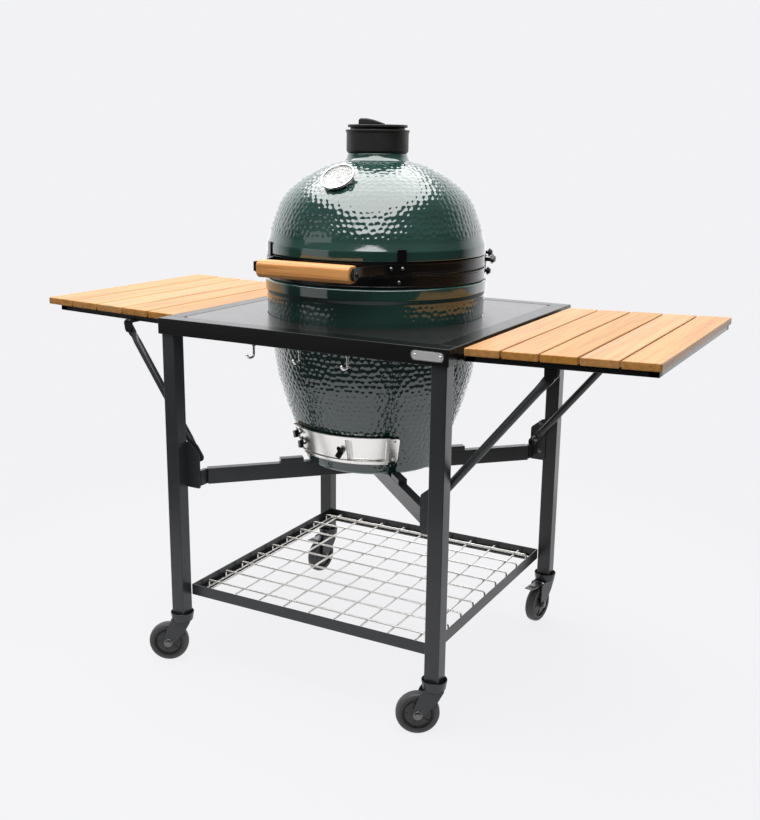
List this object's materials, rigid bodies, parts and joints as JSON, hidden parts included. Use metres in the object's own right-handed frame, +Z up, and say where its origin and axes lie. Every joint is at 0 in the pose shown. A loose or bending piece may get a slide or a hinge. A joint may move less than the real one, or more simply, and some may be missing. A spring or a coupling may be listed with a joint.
{
  "type": "kamado ceramic grill",
  "caption": "Egg-shaped ceramic charcoal grill with a hinged dome, set in a wheeled steel table with a wire tray and folding wooden side shelves.",
  "frame": {"origin": "on the floor under the middle of the whole grill's bounding box; the egg's axis is 13.5 mm behind it, because the front wheels trail forward", "axes": "+Z up, the draft door and handle face -Y, the shelves reach along X"},
  "size_m": [1.6032, 0.7914, 1.35],
  "materials": {
    "powder_coat": "satin",
    "plate_coat": "matte",
    "stainless": "satin",
    "badge": "polished",
    "black_steel": "satin",
    "glaze": "gloss",
    "fireclay": "matte",
    "cast_iron": "matte",
    "felt": "matte",
    "zinc": "satin",
    "grip_wood": "satin",
    "teak": "satin",
    "dial_glass": "gloss",
    "needle_paint": "satin",
    "tyre": "matte"
  },
  "bodies": {
    "stand": {"top_frame": "powder_coat", "insert_plate": "plate_coat", "front_left_leg": "powder_coat", "front_right_leg": "powder_coat", "back_left_leg": "powder_coat", "back_right_leg": "powder_coat", "cross_frame": "powder_coat", "tray_frame": "powder_coat", "wire_grid": "stainless", "badge_plate": "badge", "hook_rail": "black_steel", "base_shell": "glaze", "firebox": "fireclay", "fire_ring": "fireclay", "fire_grate": "cast_iron", "cooking_grid": "stainless", "base_gasket": "felt", "base_band": "black_steel", "hinge_pin": "zinc", "hinge_spring": "zinc", "draft_frame": "stainless"},
    "draft_door": {"draft_door": "stainless"},
    "draft_screen": {"draft_screen": "stainless"},
    "dome": {"dome_shell": "glaze", "dome_gasket": "felt", "dome_band": "black_steel", "handle_bracket_left": "black_steel", "handle_bracket_right": "black_steel", "handle_grip": "grip_wood", "thermometer_case": "zinc", "thermometer_lens": "dial_glass", "vent_collar": "cast_iron"},
    "needle": {"thermometer_needle": "needle_paint"},
    "vent_disc": {"vent_disc": "cast_iron"},
    "left_shelf": {"left_shelf_frame": "powder_coat", "left_shelf_slat_1": "teak", "left_shelf_slat_2": "teak", "left_shelf_slat_3": "teak", "left_shelf_slat_4": "teak", "left_shelf_slat_5": "teak"},
    "left_front_brace": {"left_front_brace": "powder_coat"},
    "left_back_brace": {"left_back_brace": "powder_coat"},
    "right_shelf": {"right_shelf_frame": "powder_coat", "right_shelf_slat_1": "teak", "right_shelf_slat_2": "teak", "right_shelf_slat_3": "teak", "right_shelf_slat_4": "teak", "right_shelf_slat_5": "teak"},
    "right_front_brace": {"right_front_brace": "powder_coat"},
    "right_back_brace": {"right_back_brace": "powder_coat"},
    "front_left_caster": {"front_left_caster_fork": "black_steel"},
    "front_left_wheel": {"front_left_wheel": "tyre"},
    "front_right_caster": {"front_right_caster_fork": "black_steel"},
    "front_right_wheel": {"front_right_wheel": "tyre"},
    "back_left_caster": {"back_left_caster_fork": "black_steel"},
    "back_left_wheel": {"back_left_wheel": "tyre"},
    "back_left_brake": {"back_left_brake_lever": "zinc"},
    "back_right_caster": {"back_right_caster_fork": "black_steel"},
    "back_right_wheel": {"back_right_wheel": "tyre"},
    "back_right_brake": {"back_right_brake_lever": "zinc"}
  },
  "joints": [
    {"name": "dome_hinge", "type": "hinge", "parent": "stand", "child": "dome", "pos_m": [0, 0.3155, 1], "axis": [-1, 0, 0], "range_deg": [0, 75]},
    {"name": "vent_disc_swing", "type": "hinge", "parent": "dome", "child": "vent_disc", "pos_m": [0.05, 0.0475, 1.331], "axis": [0, 0, 1], "range_deg": [0, 60]},
    {"name": "thermometer_needle_turn", "type": "hinge", "parent": "dome", "child": "needle", "pos_m": [0, -0.1745, 1.2185], "axis": [0, -0.6561, 0.7547], "range_deg": [-150, 100], "stiffness_Nm_per_rad": 0.0002},
    {"name": "draft_door_slide", "type": "hinge", "parent": "stand", "child": "draft_door", "pos_m": [0, 0.0135, 0.577], "axis": [0, 0, 1], "range_deg": [0, 27]},
    {"name": "draft_screen_slide", "type": "hinge", "parent": "stand", "child": "draft_screen", "pos_m": [0, 0.0135, 0.577], "axis": [0, 0, 1], "range_deg": [0, 23]},
    {"name": "left_shelf_fold", "type": "hinge", "parent": "stand", "child": "left_shelf", "pos_m": [-0.387, 0.0135, 0.857], "axis": [0, -1, 0], "range_deg": [0, 90]},
    {"name": "left_front_brace_swing", "type": "hinge", "parent": "stand", "child": "left_front_brace", "pos_m": [-0.321, -0.3065, 0.547], "axis": [0, -1, 0], "range_deg": [0, 135]},
    {"name": "left_back_brace_swing", "type": "hinge", "parent": "stand", "child": "left_back_brace", "pos_m": [-0.321, 0.3335, 0.547], "axis": [0, -1, 0], "range_deg": [0, 135]},
    {"name": "right_shelf_fold", "type": "hinge", "parent": "stand", "child": "right_shelf", "pos_m": [0.387, 0.0135, 0.857], "axis": [0, 1, 0], "range_deg": [0, 90]},
    {"name": "right_front_brace_swing", "type": "hinge", "parent": "stand", "child": "right_front_brace", "pos_m": [0.321, -0.3065, 0.523], "axis": [0, 1, 0], "range_deg": [0, 130]},
    {"name": "right_back_brace_swing", "type": "hinge", "parent": "stand", "child": "right_back_brace", "pos_m": [0.321, 0.3335, 0.523], "axis": [0, 1, 0], "range_deg": [0, 130]},
    {"name": "front_left_caster_swivel", "type": "hinge", "parent": "stand", "child": "front_left_caster", "pos_m": [-0.356, -0.3425, 0.11], "axis": [0, 0, 1], "continuous": true},
    {"name": "front_left_wheel_spin", "type": "hinge", "parent": "front_left_caster", "child": "front_left_wheel", "pos_m": [-0.38761, -0.35973, 0.05], "axis": [0.4787, -0.878, 0], "continuous": true},
    {"name": "front_right_caster_swivel", "type": "hinge", "parent": "stand", "child": "front_right_caster", "pos_m": [0.356, -0.3425, 0.11], "axis": [0, 0, 1], "continuous": true},
    {"name": "front_right_wheel_spin", "type": "hinge", "parent": "front_right_caster", "child": "front_right_wheel", "pos_m": [0.32439, -0.35973, 0.05], "axis": [0.4787, -0.878, 0], "continuous": true},
    {"name": "back_left_caster_swivel", "type": "hinge", "parent": "stand", "child": "back_left_caster", "pos_m": [-0.356, 0.3695, 0.11], "axis": [0, 0, 1], "continuous": true},
    {"name": "back_left_wheel_spin", "type": "hinge", "parent": "back_left_caster", "child": "back_left_wheel", "pos_m": [-0.36163, 0.33394, 0.05], "axis": [0.9877, -0.1564, 0], "continuous": true},
    {"name": "back_left_brake_press", "type": "hinge", "parent": "back_left_caster", "child": "back_left_brake", "pos_m": [-0.36148, 0.33493, 0.107], "axis": [0.9877, -0.1564, 0], "range_deg": [0, 10]},
    {"name": "back_right_caster_swivel", "type": "hinge", "parent": "stand", "child": "back_right_caster", "pos_m": [0.356, 0.3695, 0.11], "axis": [0, 0, 1], "continuous": true},
    {"name": "back_right_wheel_spin", "type": "hinge", "parent": "back_right_caster", "child": "back_right_wheel", "pos_m": [0.35037, 0.33394, 0.05], "axis": [0.9877, -0.1564, 0], "continuous": true},
    {"name": "back_right_brake_press", "type": "hinge", "parent": "back_right_caster", "child": "back_right_brake", "pos_m": [0.35052, 0.33493, 0.107], "axis": [0.9877, -0.1564, 0], "range_deg": [0, 10]}
  ],
  "couplings": [
    {"joint": "left_front_brace_swing", "follows": "left_shelf_fold", "ratio": 1.48},
    {"joint": "left_back_brace_swing", "follows": "left_shelf_fold", "ratio": 1.48},
    {"joint": "right_front_brace_swing", "follows": "right_shelf_fold", "ratio": 1.43},
    {"joint": "right_back_brace_swing", "follows": "right_shelf_fold", "ratio": 1.43}
  ]
}
